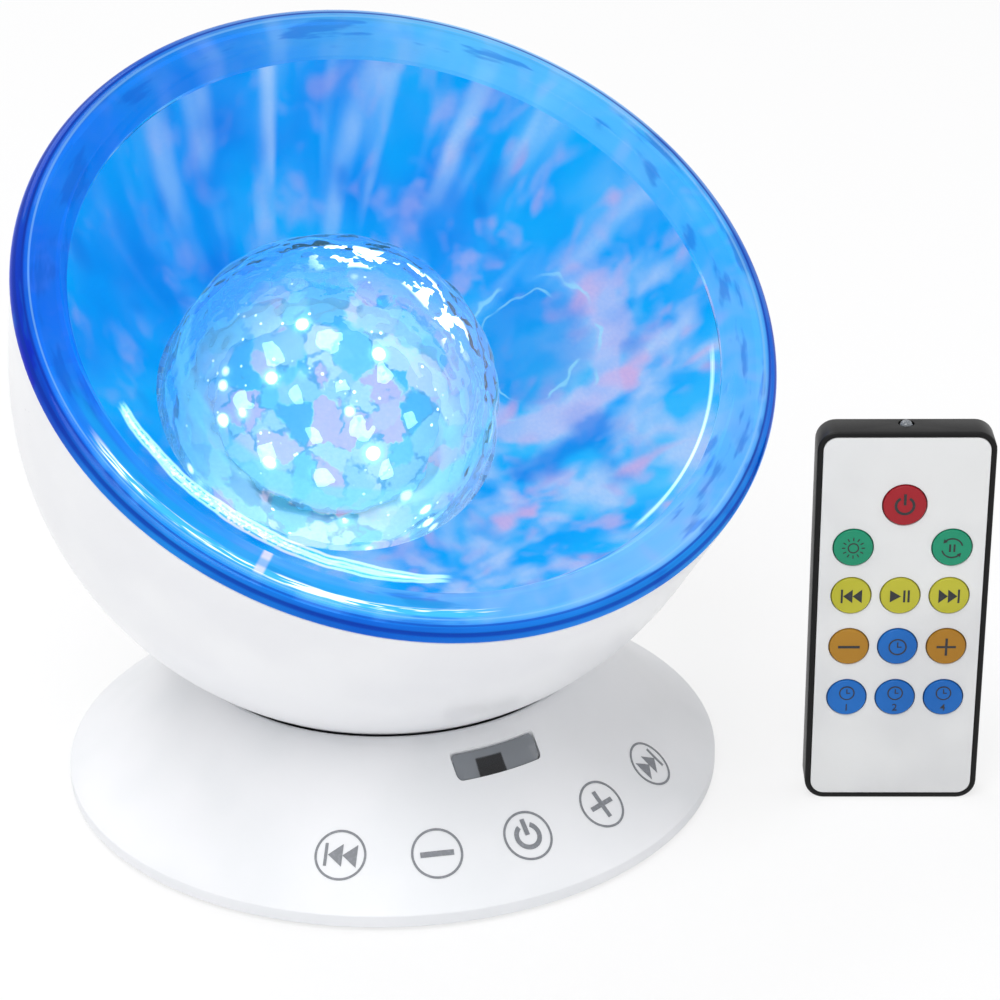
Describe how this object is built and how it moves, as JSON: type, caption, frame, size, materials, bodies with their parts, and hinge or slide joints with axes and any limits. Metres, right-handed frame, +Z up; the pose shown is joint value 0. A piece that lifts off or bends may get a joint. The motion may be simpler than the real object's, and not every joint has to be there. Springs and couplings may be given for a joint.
{
  "type": "water wave effect light",
  "caption": "Ocean wave projector lamp: a tilting bowl with a blue lens and a turning ripple dome on a touch base, with its card remote.",
  "frame": {"origin": "middle of the base, on the surface that the feet stand on", "axes": "+Z up, -Y to the front that the head leans towards, +X to the lamp's left as it faces the viewer, where the remote stands"},
  "size_m": [0.1879, 0.1563, 0.1561],
  "materials": {
    "bowl_white": "gloss",
    "base_white": "satin",
    "blue_lens": "gloss",
    "wave_reflector": "satin",
    "ripple_clear": "gloss",
    "inner_white": "matte",
    "smoke_window": "gloss",
    "black_part": "satin",
    "grey_rubber": "matte",
    "bright_steel": "satin",
    "board_green": "satin",
    "lamp_white": "satin",
    "nylon": "satin",
    "remote_black": "satin",
    "remote_silver": "satin",
    "key_red": "satin",
    "key_green": "satin",
    "key_yellow": "satin",
    "key_orange": "satin",
    "key_blue": "satin"
  },
  "bodies": {
    "base": {"base_shell": "base_white", "bottom_plate": "inner_white", "seat_ring": "grey_rubber", "ir_window": "smoke_window", "ir_receiver": "black_part", "main_board": "board_green", "speaker_basket": "bright_steel", "speaker_cone": "black_part", "power_socket": "black_part", "audio_socket": "black_part", "socket_board": "board_green", "foot_1": "grey_rubber", "foot_2": "grey_rubber", "foot_3": "grey_rubber", "foot_4": "grey_rubber", "base_screw_1": "bright_steel", "base_screw_2": "bright_steel", "base_screw_3": "bright_steel", "base_screw_4": "bright_steel", "touch_spring_1": "bright_steel", "touch_spring_2": "bright_steel", "touch_spring_3": "bright_steel", "touch_spring_4": "bright_steel", "touch_spring_5": "bright_steel"},
    "head": {"bowl": "bowl_white", "cover": "blue_lens", "reflector": "wave_reflector", "chassis": "inner_white", "lamp_board": "lamp_white", "motor": "bright_steel", "chassis_screw_1": "bright_steel", "chassis_screw_2": "bright_steel", "chassis_screw_3": "bright_steel", "motor_screw_1": "bright_steel", "motor_screw_2": "bright_steel", "tilt_bolt": "bright_steel", "clamp_shoe": "nylon", "spring_washer": "bright_steel", "clamp_nut": "bright_steel"},
    "dome": {"ripple_dome": "ripple_clear"},
    "pinion": {"drive_pinion": "nylon"},
    "remote": {"remote_case": "remote_black", "remote_face": "remote_silver", "remote_board": "board_green", "ir_emitter": "smoke_window"},
    "tray": {"battery_tray": "remote_black", "coin_cell": "bright_steel"},
    "power_key": {"key_power": "key_red"},
    "light_mode_key": {"key_light_mode": "key_green"},
    "turn_mode_key": {"key_turn_mode": "key_green"},
    "back_key": {"key_back": "key_yellow"},
    "play_key": {"key_play": "key_yellow"},
    "forward_key": {"key_forward": "key_yellow"},
    "quieter_key": {"key_quieter": "key_orange"},
    "timer_off_key": {"key_timer_off": "key_blue"},
    "louder_key": {"key_louder": "key_orange"},
    "timer_1_key": {"key_timer_1": "key_blue"},
    "timer_2_key": {"key_timer_2": "key_blue"},
    "timer_4_key": {"key_timer_4": "key_blue"}
  },
  "joints": [
    {"name": "head_tilt", "type": "hinge", "parent": "base", "child": "head", "pos_m": [0, 0, 0.09456], "axis": [1, 0, 0], "range_deg": [-33, 12]},
    {"name": "dome_spin", "type": "hinge", "parent": "head", "child": "dome", "pos_m": [-0.005, 0.0057, 0.09826], "axis": [0, -0.5446, 0.8387], "continuous": true},
    {"name": "pinion_spin", "type": "hinge", "parent": "head", "child": "pinion", "pos_m": [0.04108, 0.0057, 0.09826], "axis": [0, -0.5446, 0.8387], "continuous": true},
    {"name": "remote_lift", "type": "slide", "parent": "base", "child": "remote", "axis": [0, 0, 1], "range_m": [0, 0.1]},
    {"name": "tray_slide", "type": "slide", "parent": "remote", "child": "tray", "axis": [0, 0, -1], "range_m": [0, 0.024]},
    {"name": "key_power_press", "type": "slide", "parent": "remote", "child": "power_key", "axis": [0.4586, 0.8886, 0], "range_m": [0, 0.0004], "stiffness_N_per_m": 1500},
    {"name": "key_light_mode_press", "type": "slide", "parent": "remote", "child": "light_mode_key", "axis": [0.4586, 0.8886, 0], "range_m": [0, 0.0004], "stiffness_N_per_m": 1500},
    {"name": "key_turn_mode_press", "type": "slide", "parent": "remote", "child": "turn_mode_key", "axis": [0.4586, 0.8886, 0], "range_m": [0, 0.0004], "stiffness_N_per_m": 1500},
    {"name": "key_back_press", "type": "slide", "parent": "remote", "child": "back_key", "axis": [0.4586, 0.8886, 0], "range_m": [0, 0.0004], "stiffness_N_per_m": 1500},
    {"name": "key_play_press", "type": "slide", "parent": "remote", "child": "play_key", "axis": [0.4586, 0.8886, 0], "range_m": [0, 0.0004], "stiffness_N_per_m": 1500},
    {"name": "key_forward_press", "type": "slide", "parent": "remote", "child": "forward_key", "axis": [0.4586, 0.8886, 0], "range_m": [0, 0.0004], "stiffness_N_per_m": 1500},
    {"name": "key_quieter_press", "type": "slide", "parent": "remote", "child": "quieter_key", "axis": [0.4586, 0.8886, 0], "range_m": [0, 0.0004], "stiffness_N_per_m": 1500},
    {"name": "key_timer_off_press", "type": "slide", "parent": "remote", "child": "timer_off_key", "axis": [0.4586, 0.8886, 0], "range_m": [0, 0.0004], "stiffness_N_per_m": 1500},
    {"name": "key_louder_press", "type": "slide", "parent": "remote", "child": "louder_key", "axis": [0.4586, 0.8886, 0], "range_m": [0, 0.0004], "stiffness_N_per_m": 1500},
    {"name": "key_timer_1_press", "type": "slide", "parent": "remote", "child": "timer_1_key", "axis": [0.4586, 0.8886, 0], "range_m": [0, 0.0004], "stiffness_N_per_m": 1500},
    {"name": "key_timer_2_press", "type": "slide", "parent": "remote", "child": "timer_2_key", "axis": [0.4586, 0.8886, 0], "range_m": [0, 0.0004], "stiffness_N_per_m": 1500},
    {"name": "key_timer_4_press", "type": "slide", "parent": "remote", "child": "timer_4_key", "axis": [0.4586, 0.8886, 0], "range_m": [0, 0.0004], "stiffness_N_per_m": 1500}
  ],
  "couplings": [
    {"joint": "pinion_spin", "follows": "dome_spin", "ratio": -5}
  ]
}
